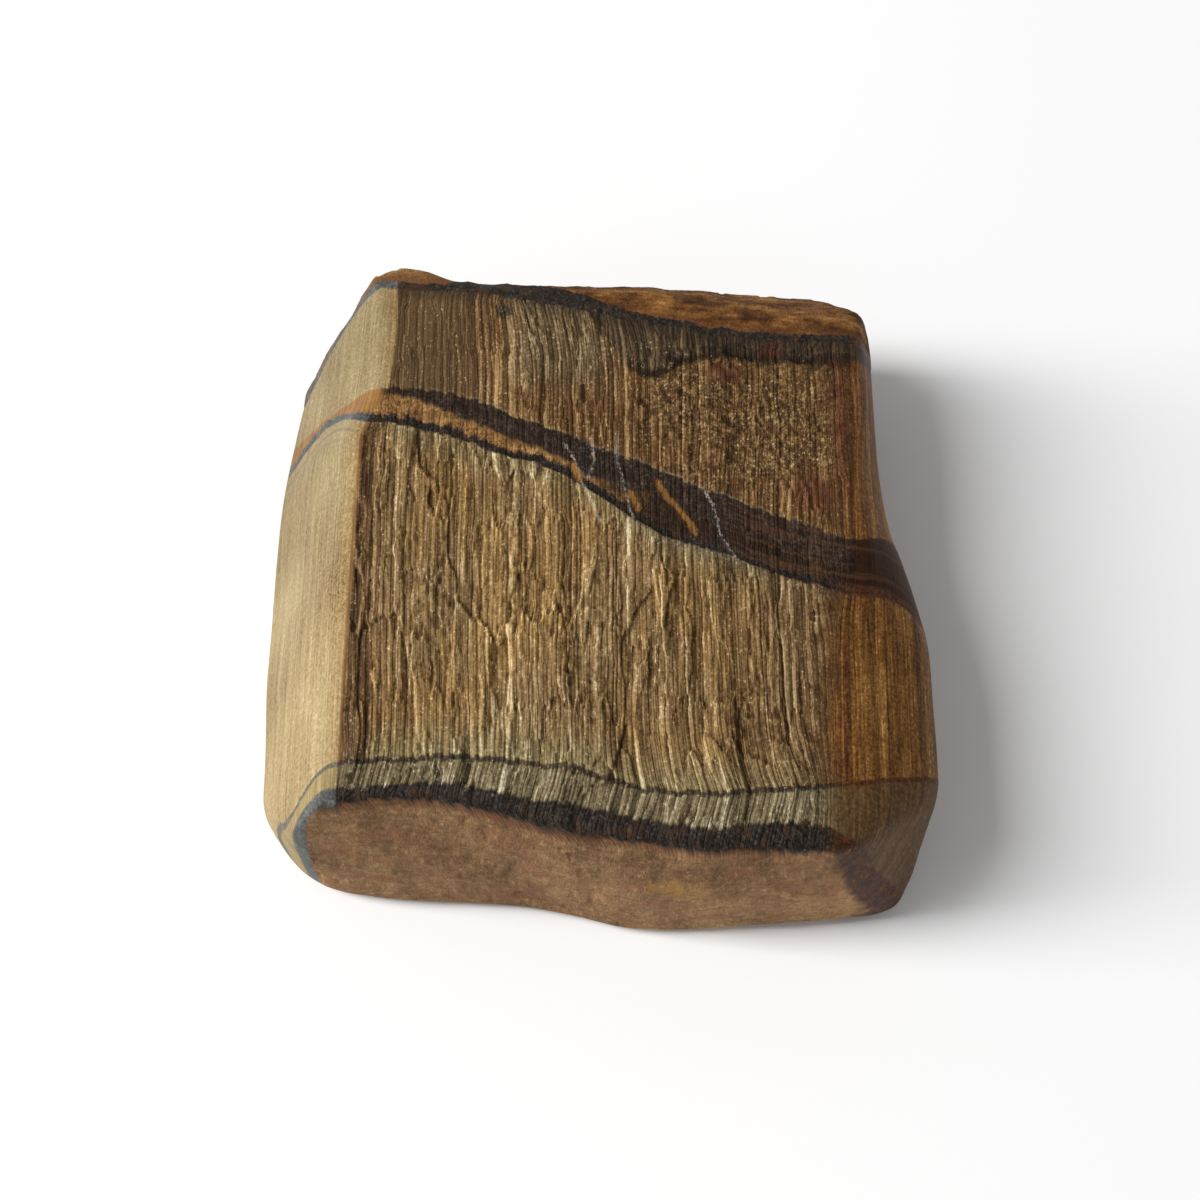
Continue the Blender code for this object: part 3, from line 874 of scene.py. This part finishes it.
class Stone(Weave):
    """The stone's one material: golden fibre, dark iron and brown ironstone, layered right through it."""

    def __init__(self, material, shift):
        super().__init__(material)
        place = self.add("TexCoord").outputs["Object"]
        self.place = self.moved(self.scaled(place, 1 / MM, 1 / MM, 1 / MM), tuple(shift))
        axes = self.add("SeparateXYZ", self.place).outputs
        self.x, self.y, self.z = (Value(self, axis) for axis in axes)
        for name in ("relief", "cavity", "top", "across", "grainy", "scarp"):
            setattr(self, name, self.attribute(name))
        self.measure_grain()
        self.measure_layers()

    def strands(self, width, offset):
        """A tone from -0.5 to 0.5 for each strand this wide, its rounded height, and 1 in its gap."""
        across = (self.across + offset) * (1 / width)
        middle = self.add("TexVoronoi", voronoi_dimensions="1D")
        edge = self.add("TexVoronoi", voronoi_dimensions="1D", feature="DISTANCE_TO_EDGE")
        for cell in (middle, edge):
            self.fill(cell, {"W": across, "Scale": 1.0, "Randomness": 1.0})
        tone = Value(self, self.add("SeparateColor", middle.outputs["Color"]).outputs[0])
        height = self.calc("MULTIPLY", middle.outputs["Distance"], middle.outputs["Distance"])
        return tone - 0.5, -1.0 * height, self.step(0.17, 0.03, edge.outputs["Distance"])

    def measure_grain(self):
        """Grain along the fibres, at several sizes, grain that has no direction, and the fibres' tone, with
        painted shade and highlight from their relief.
        """
        self.bundle = self.strands(BUNDLE_WIDTH, 0.0)[0]
        self.fibre, self.fibre_height, self.fibre_gap = self.strands(FIBRE_WIDTH, 40.0)
        self.hair, self.hair_height, hair_gap = self.strands(HAIR_WIDTH, 80.0)
        soft = self.noise(self.point(1.1 * self.across, 0.08 * self.y, 0.0), 3.0, 0.6, 0.0, "2D")
        streak = self.noise(self.point(3.0 * self.across, 0.3 * self.y, 0.0), 2.0, 0.6, 7.0, "2D")
        self.soft, self.streak = soft - 0.5, streak - 0.5
        self.gaps = self.fibre_gap * self.step(-0.16, 0.1, self.streak) + 0.3 * hair_gap
        cloud = self.noise(self.scaled(self.place, 0.16, 0.1, 0.08), 1.0, 0.5, 3.0)
        mottle = self.noise(self.scaled(self.place, 0.9, 0.9, 0.42), 2.0, 0.6, 5.0)
        speck = self.noise(self.scaled(self.place, 4.5, 3.6, 2.0), 2.0, 0.75, 9.0)
        flecks = self.noise(self.scaled(self.place, 2.1, 2.1, 1.1), 2.0, 0.65, 13.0)
        grains = (cloud, mottle, speck, flecks)
        self.cloud, self.mottle, self.speck, self.flecks = (value - 0.5 for value in grains)
        bent = 0.8 * self.speck + 1.5 * self.mottle
        crack = self.add("TexVoronoi", voronoi_dimensions="2D", feature="DISTANCE_TO_EDGE")
        cracked = self.point(1.7 * self.x + bent, 1.3 * self.y + bent, 0.0)
        self.fill(crack, {"Vector": cracked, "Scale": 1.0})
        self.crackle = 0.65 * self.step(0.1, 0.03, crack.outputs["Distance"])
        self.crumbs = 1.4 * self.speck + 0.8 * self.mottle + MIDTONE
        self.silk = (
            0.24 * self.fibre + 0.26 * self.hair + 0.6 * self.soft + 0.8 * self.streak + 0.7 * self.cloud
            + 0.9 * self.speck + MIDTONE
        )
        strands = (
            0.12 * self.bundle + 0.2 * self.fibre + 0.15 * self.hair + 0.4 * self.soft + 0.65 * self.streak
        )
        # Painted light from the relief: lighter on raised parts and crests, darker in crevices; the speck
        # is grain.
        painted_light_and_speck = 0.25 * self.relief + 1.3 * self.cavity + 0.75 * self.speck
        # Painted shade in the gaps between strands and on scarps that step down to the right, away from the
        # light; scarps that step down to the left are painted lighter.
        sunk = 0.2 * self.gaps + 0.22 * self.scarp
        self.tone = strands - sunk + painted_light_and_speck + 0.565

    def measure_layers(self):
        """Signed distances, in mm, behind each layer's edge and beyond the two ridges."""
        fray = (0.5 * self.bundle + self.fibre) * (0.06 + 0.26 * self.top)
        y = self.y + 0.6 * self.cloud + fray
        self.behind = {name: y - self.curve(edge, self.x) for name, edge in EDGES.items()}
        self.left_of = self.curve(LEFT_RIDGE, self.y) - self.x
        self.right_of = self.x - self.curve(RIGHT_RIDGE, self.y)
        self.on_left = self.step(-0.12, 0.12, self.left_of)
        self.ironstone = (
            self.step(0.1, -0.1, self.behind["black"]) + self.step(0.9, 1.1, self.behind["back"])
        )
        ragged = 0.7 * self.fibre + 2.2 * self.mottle + 2.0 * self.soft
        self.on_right = self.step(-1.2, 1.4, self.right_of + ragged)
        self.drop = self.calc("MINIMUM", self.z - 20.2, 0.0)

    def main_seam(self):
        """The wide seam: golden fibre, paler and greener at its two edges, with painted shade as darker
        umber in the groove beside the left ridge, a painted highlight on the ridge, and painted shade
        toward the right.
        """
        golden = self.tones(self.tone, "golden fibre")
        orange = self.tones(self.tone, "orange fibre")
        pale = self.tones(self.tone, "pale fibre")
        umber = self.tones(self.tone, "umber fibre")
        seam = self.mix(self.step(-0.08, 0.1, self.cloud + 0.5 * self.soft), golden, orange)
        near_edges = (
            self.step(4.5, 0.0, self.behind["seam"]) + 0.8 * self.step(-3.2, -0.4, self.behind["iron"])
        )
        seam = self.mix(0.8 * near_edges, seam, pale)
        # Painted shade: the strip beside the left ridge, where the face dips into a groove, is made darker
        # umber.
        strip = self.left_of + 1.5 * self.bundle + 3.0 * self.soft
        seam = self.mix(0.8 * self.step(-3.6, -1.2, strip), seam, umber)
        crust = 0.6 * self.step(-1.1, -0.3, self.behind["iron"]) * self.step(-2.0, 4.0, self.x)
        seam = self.mix(crust, seam, self.tones(self.crumbs, "crust by the iron"))
        # Painted shade in the groove just right of the left ridge.
        shaded_valley = self.left_of + 0.5 * self.fibre
        seam = self.dim(seam, 1.0 - 0.2 * self.step(-2.2, -1.2, shaded_valley) * self.step(-0.1, -0.5, shaded_valley))
        # Painted highlight: the lit edge of the left ridge, in gold.
        seam = self.mix(0.5 * self.step(-0.4, -0.1, self.left_of), seam, "ridge highlight gold")
        seam = self.mix(0.8 * self.step(9.0, 18.0, self.x), seam, umber)
        # Painted shade: the seam made darker toward the right, away from the light.
        return self.dim(seam, 1.0 - 0.18 * self.step(2.0, 22.0, self.x))

    def upper_seam(self):
        """The narrow seam behind the iron: brown, pale and curved in the middle, crumbled at the right."""
        umber = self.tones(self.tone, "upper umber")
        amber = self.tones(self.tone, "upper amber")
        pale = self.tones(self.tone, "upper pale")
        umber = self.mix(0.4, umber, "dull umber")
        upper = self.mix(self.step(-14.0, -7.0, self.x + 10.0 * self.soft), umber, amber)
        curved = (
            self.step(-9.5, -6.0, self.x) * self.step(3.0, -1.0, self.x) * self.step(13.0, 19.0, self.y)
        )
        upper = self.mix(0.6 * curved, upper, pale)
        # The cavity value paints shade into the crumbled patch's crevices and highlight onto its crests.
        crumb = self.tones(self.crumbs + 1.4 * self.cavity + 0.5 * self.tone - 0.25, "crumbled fibre")
        crumb = self.mix(self.crackle, crumb, "crackle")
        return self.mix(0.85 * self.grainy, upper, crumb)

    def sawn_side(self):
        """Pale and silky, with pores, grey bands that follow the iron, painted shade toward the back and a
        painted golden highlight at the ridge; the paleness is partly painted chatoyant sheen.
        """
        lines = 0.1 * self.fibre + 0.14 * self.hair + 0.5 * self.soft + 0.4 * self.streak
        grain = lines + 0.7 * self.cloud + 0.4 * self.flecks + 1.2 * self.speck + MIDTONE
        # The pale ramp is partly the sawn stone's own colour and partly painted chatoyant sheen.
        pale = self.tones(grain, "sawn fibre and sheen")
        # Painted shade: darker toward the back, as the light falls on this face.
        pale = self.dim(pale, 1.04 - 0.34 * self.step(-24.0, 24.0, self.y))
        iron = self.behind["iron"]
        arcs = self.noise(self.point(0.0, 1.3 * iron, 0.0), 1.0, 0.5, 17.0)
        arcs = self.step(0.5, 0.62, arcs) * self.step(-5.0, -1.0, iron) * self.step(0.0, -0.3, iron)
        pale = self.mix(0.55 * arcs, pale, "grey arc")
        # Painted highlight: a golden lit edge along the ridge.
        golden = 0.4 * self.step(1.3, 0.1, self.left_of + 1.5 * self.flecks)
        return self.mix(golden, pale, self.tones(self.crumbs, "sawn edge highlight"))

    def worn_side(self):
        grain = self.silk + 0.5 * self.flecks + 0.5 * self.speck
        worn = self.tones(grain, "worn fibre")
        worn = self.mix(0.55 * self.step(-0.12, -0.22, self.mottle), worn, "dark pit")
        reddish = self.tones(grain, "worn reddish")
        return self.mix(0.8 * self.step(3.4, 0.4, self.right_of + 3.0 * self.mottle), worn, reddish)

    def dark_iron(self):
        """The blue-black layers: black with painted blue-grey glints where broken, grey where sawn and
        maroon where worn.
        """
        # Painted glints in the pale top of the broken ramp; the cavity value adds painted shade in crevices
        # and highlight on crests.
        broken = self.tones(1.3 * self.speck + 0.5 * self.flecks + self.cavity + MIDTONE, "broken black and glints")
        broken = self.mix(0.5 * self.step(0.0, 0.16, self.mottle), broken, "rusty black")
        sawn = self.tones(self.crumbs, "sawn black")
        worn = 0.6 * self.crumbs + 1.1 * self.flecks + 0.15 * self.silk + 0.12
        maroon = self.tones(worn, "worn maroon")
        return self.mix(self.on_left, self.mix(self.on_right, broken, maroon), sawn)

    def short_fibre(self):
        pale = self.tones(self.tone, "short fibre")
        worn = 0.5 * self.silk + 0.8 * self.flecks + 0.4 * self.speck + 0.25
        olive = self.tones(worn, "short worn")
        side = self.tones(self.silk, "short sawn")
        return self.mix(self.on_left, self.mix(self.on_right, pale, olive), side)

    def iron_band(self):
        """Rust-orange ironstone that turns liver-brown to the right, between two dark skins."""
        grains = 0.9 * self.crumbs + 0.5 * self.soft
        rust = self.tones(grains, "band rust")
        rust = self.mix(self.on_left, rust, self.tones(self.silk, "band rust sawn"))
        liver = self.tones(grains, "band liver")
        liver = self.mix(self.on_right, liver, self.tones(self.silk, "band liver worn"))
        iron = self.mix(self.step(-4.0, 5.0, self.x + 18.0 * self.mottle), rust, liver)
        dark = self.dark_iron()
        lower = self.step(1.15, 0.75, self.behind["iron"] + 0.9 * self.mottle + 0.6 * self.speck)
        iron = self.mix(lower, iron, dark)
        widening = 1.6 * self.step(-18.0, -11.0, self.x) + 0.5 * self.step(-6.0, 0.0, self.x)
        upper = self.behind["upper"] + 0.2 + widening + self.mottle + 0.6 * self.speck
        upper = self.step(-0.75, -0.35, upper) * self.step(-19.6, -18.6, self.x)
        umber = self.tones(self.crumbs, "band skin")
        iron = self.mix(upper, iron, self.mix(self.on_right, umber, liver))
        layered = self.noise(self.point(0.1 * self.x, 2.2 * self.behind["iron"], 0.0), 2.0, 0.6, 31.0, "2D")
        return self.mix(
            0.6 * self.step(0.5, 0.62, layered) * self.step(8.0, 14.0, self.x), iron, "band layer"
        )

    def front_ironstone(self):
        crust = 0.6 * self.mottle + 0.7 * self.flecks + 0.9 * self.speck
        brown = self.tones(crust + 1.3 * self.cloud + MIDTONE, "front brown")
        # Painted light: the front made brighter toward the right, where more light reaches it.
        brown = self.dim(brown, 1.0 + 0.16 * self.step(-18.0, 16.0, self.x))
        spot = 0.16 * self.calc("POWER", self.x - 6.5, 2.0)
        spot = spot + 0.22 * self.calc("POWER", self.z - 12.5, 2.0) + 6.0 * self.mottle
        brown = self.mix(0.6 * self.step(1.6, 0.0, spot), brown, "ochre spot")
        swirl = self.noise(self.scaled(self.place, 0.35, 0.35, 1.3), 1.0, 0.6, 27.0)
        vein = self.step(0.54, 0.57, swirl) * self.step(0.66, 0.6, swirl)
        brown = self.mix(0.5 * self.step(0.13, 0.24, self.flecks), brown, "pale fleck")
        brown = self.mix(0.35 * vein, brown, "brown vein")
        blush = self.step(0.5, 0.7, self.noise(self.scaled(self.place, 0.22, 0.22, 0.3), 1.0, 0.6, 21.0))
        brown = self.mix(0.4 * blush, brown, "pink blush")
        reach = self.behind["black"] + self.drop + 0.9 * self.fibre + 1.2 * self.mottle
        rim = self.mix(self.step(-0.1, 0.1, self.mottle), "red rim", "brown rim")
        return self.mix(0.75 * self.step(-1.5, 0.1, reach), brown, rim)

    def back_ironstone(self):
        flow = self.noise(self.scaled(self.place, 0.28, 0.7, 0.5), 3.0, 0.65, 41.0) - 0.5
        rust = self.tones(1.9 * flow + 0.5 * self.flecks + 0.6 * self.speck + MIDTONE, "back rust")
        bump = self.tones(self.crumbs, "back knob")
        rust = self.mix(self.step(-13.0, -15.0, self.x), rust, bump)
        return self.mix(0.6 * self.step(2.0, 0.9, self.behind["back"]), rust, "back edge")

    def layers(self):
        """Every layer in its place, from the front of the stone to the back."""
        fibres = self.mix(self.step(0.0, 0.3, self.behind["upper"]), self.main_seam(), self.upper_seam())
        fibres = self.mix(self.on_right, fibres, self.worn_side())
        fibres = self.mix(self.on_left, fibres, self.sawn_side())
        dark = self.dark_iron()
        colour = self.mix(self.step(-0.15, 0.15, self.behind["black"]), self.front_ironstone(), dark)
        colour = self.mix(self.step(-0.2, 0.2, self.behind["short"]), colour, self.short_fibre())
        colour = self.mix(self.step(0.0, 0.1, self.behind["seam"]), colour, fibres)
        thin = self.step(0.3, 0.14, self.calc("ABSOLUTE", self.behind["seam"]))
        colour = self.mix(0.8 * thin, colour, dark)
        colour = self.mix(self.step(-0.1, 0.15, self.behind["iron"]), colour, self.iron_band())
        colour = self.mix(self.step(-0.1, 0.15, self.behind["upper"]), colour, fibres)
        grey = self.tones(self.tone, "grey fibre")
        colour = self.mix(0.9 * self.step(-0.2, 0.6, self.behind["grey"]), colour, grey)
        thick = 0.3 + 0.4 * self.step(5.0, 13.0, self.x)
        wander = self.behind["grey"] + 2.4 * self.mottle + 1.6 * self.flecks + 1.2 * self.speck
        ragged = thick - self.calc("ABSOLUTE", wander)
        ragged = self.step(-0.35, 0.2, ragged) * self.step(0.5, 3.5, self.x) * (1.0 - self.on_right)
        colour = self.mix(0.85 * ragged * self.step(-0.22, 0.02, self.speck), colour, "ragged line")
        dusk = self.step(-1.9, -0.5, self.behind["back"] + self.mottle)
        colour = self.mix(0.55 * dusk * (1.0 - self.on_left), colour, "dusk")
        band = self.behind["back"] + 0.8 * self.mottle
        colour = self.mix(self.step(-0.4, -0.12, band), colour, dark)
        hidden = (
            1.6 * self.step(-14.5, -11.5, self.x) * self.step(6.0, -6.0, self.x)
            * self.step(-6.0, -1.0, self.drop)
        )
        return self.mix(self.step(0.5, 0.72, band - hidden), colour, self.back_ironstone())

    def marks(self, colour):
        """Stains, glints and healed cracks on the broken face."""
        glint = (
            self.step(0.15, 0.22, self.speck) * self.attribute("sparkly") * self.step(0.3, 0.7, self.tone)
        )
        colour = self.mix(0.55 * glint, colour, "glint")
        colour = self.mix(
            0.75 * self.attribute("red") * self.step(-0.1, 0.08, self.speck), colour, "red stain"
        )
        blot = self.mix(self.step(0.02, 0.2, self.speck), "dark blot", "grey blot")
        colour = self.mix(0.85 * self.attribute("blot"), colour, blot)
        broken = self.speck + 0.35 * self.mottle
        pale = self.step(0.11, 0.02, self.attribute("pale_crack") + broken)
        tint = self.mix(self.step(-0.1, 0.1, self.mottle), "warm quartz", "cool quartz")
        colour = self.mix(0.6 * pale, colour, tint)
        orange = self.step(0.38, 0.1, self.attribute("orange_crack") + broken)
        return self.mix(0.7 * orange, colour, "orange crack")

    def fine_bump(self):
        """Grain too fine for the mesh."""
        height = (
            0.16 * self.fibre_height + 0.06 * self.hair_height + 0.02 * self.fibre - 0.02 * self.fibre_gap
        )
        rough = self.speck * (0.06 + 0.05 * self.grainy)
        rough = rough + 0.12 * self.speck * (1.0 - self.attribute("fibrous"))
        height = height * self.attribute("fibrous") + rough
        bump = self.add("Bump")
        crusted = self.calc("MAXIMUM", self.top, 0.8 * self.ironstone)
        self.fill(bump, {"Distance": MM, "Strength": 0.25 + 0.75 * crusted, "Height": height})
        return bump.outputs[0]


def stone_material(shift):
    material = bpy.data.materials.new("tigers_eye")
    material.use_nodes = True
    shader = material.node_tree.nodes["Principled BSDF"]
    stone = Stone(material, shift)
    stone.fill(shader, {
        "Base Color": stone.marks(stone.layers()),
        "Roughness": 0.52 + 0.26 * stone.ironstone + 0.3 * stone.speck,
        "Specular IOR Level": SHEEN,
        "IOR": QUARTZ_IOR,
        "Normal": stone.fine_bump(),
    })
    return material


def floor_material():
    material = bpy.data.materials.new("white_floor")
    material.use_nodes = True
    shader = material.node_tree.nodes["Principled BSDF"]
    shader.inputs["Base Color"].default_value = FLOOR_WHITE
    shader.inputs["Roughness"].default_value = 0.9
    shader.inputs["Specular IOR Level"].default_value = 0.1
    return material


# ---- The scene ----


def make_stone(shift):
    mesh = bpy.data.meshes.new("stone")
    grid = fine_stone(shift)
    grid.to_mesh(mesh)
    grid.free()
    piece = bpy.data.objects.new("stone", mesh)
    bpy.context.scene.collection.objects.link(piece)
    thinned(piece)
    mark_surface(piece.data, shift)
    lay_flat(piece.data, shift)
    piece.data.shade_smooth()
    piece.data.materials.clear()
    piece.data.materials.append(stone_material(shift))
    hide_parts(NODE)
    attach(piece, "root")


def make_floor():
    mesh = bpy.data.meshes.new("floor")
    disc = bmesh.new()
    bmesh.ops.create_circle(disc, cap_ends=True, radius=FLOOR_RADIUS, segments=96)
    disc.to_mesh(mesh)
    disc.free()
    mesh.materials.append(floor_material())
    floor = bpy.data.objects.new("floor", mesh)
    bpy.context.scene.collection.objects.link(floor)


def aim(obj, start, target):
    obj.location = Vector(start) * MM
    obj.rotation_euler = (Vector(target) - Vector(start)).to_track_quat("-Z", "Y").to_euler()
    bpy.context.scene.collection.objects.link(obj)


def make_camera(shift):
    lens = bpy.data.cameras.new("camera")
    lens.sensor_width = SENSOR
    lens.lens = LENS
    camera = bpy.data.objects.new("camera", lens)
    rise = math.radians(CAMERA_ELEVATION)
    target = LOOK_AT - shift
    back = np.array([0.0, -math.cos(rise), math.sin(rise)]) * CAMERA_DISTANCE
    aim(camera, target + back, target)
    bpy.context.scene.camera = camera


def make_light():
    """One tall soft window to the left, and an even pale sky."""
    window = bpy.data.lights.new("window", "AREA")
    window.shape = "RECTANGLE"
    window.size, window.size_y = KEY_SIZE
    window.energy = KEY_WATTS
    rise = math.radians(KEY_ELEVATION)
    start = (-KEY_DISTANCE * math.cos(rise), 0, KEY_DISTANCE * math.sin(rise))
    aim(bpy.data.objects.new("window", window), start, (0, 0, 0))

    world = bpy.data.worlds.new("sky")
    world.use_nodes = True
    bpy.context.scene.world = world
    tree = world.node_tree
    glow, seen = tree.nodes["Background"], tree.nodes.new("ShaderNodeBackground")
    which = tree.nodes.new("ShaderNodeMixShader")
    tree.links.new(tree.nodes.new("ShaderNodeLightPath").outputs["Is Camera Ray"], which.inputs[0])
    for socket, node, strength in ((1, glow, SKY), (2, seen, SKY_SEEN)):
        node.inputs["Color"].default_value = WHITE
        node.inputs["Strength"].default_value = strength
        tree.links.new(node.outputs[0], which.inputs[socket])
    tree.links.new(which.outputs[0], tree.nodes["World Output"].inputs[0])


def main():
    bpy.context.scene.view_settings.view_transform = "Standard"
    shift = centre_of_solid()
    make_stone(shift)
    make_floor()
    make_camera(shift)
    make_light()


main()
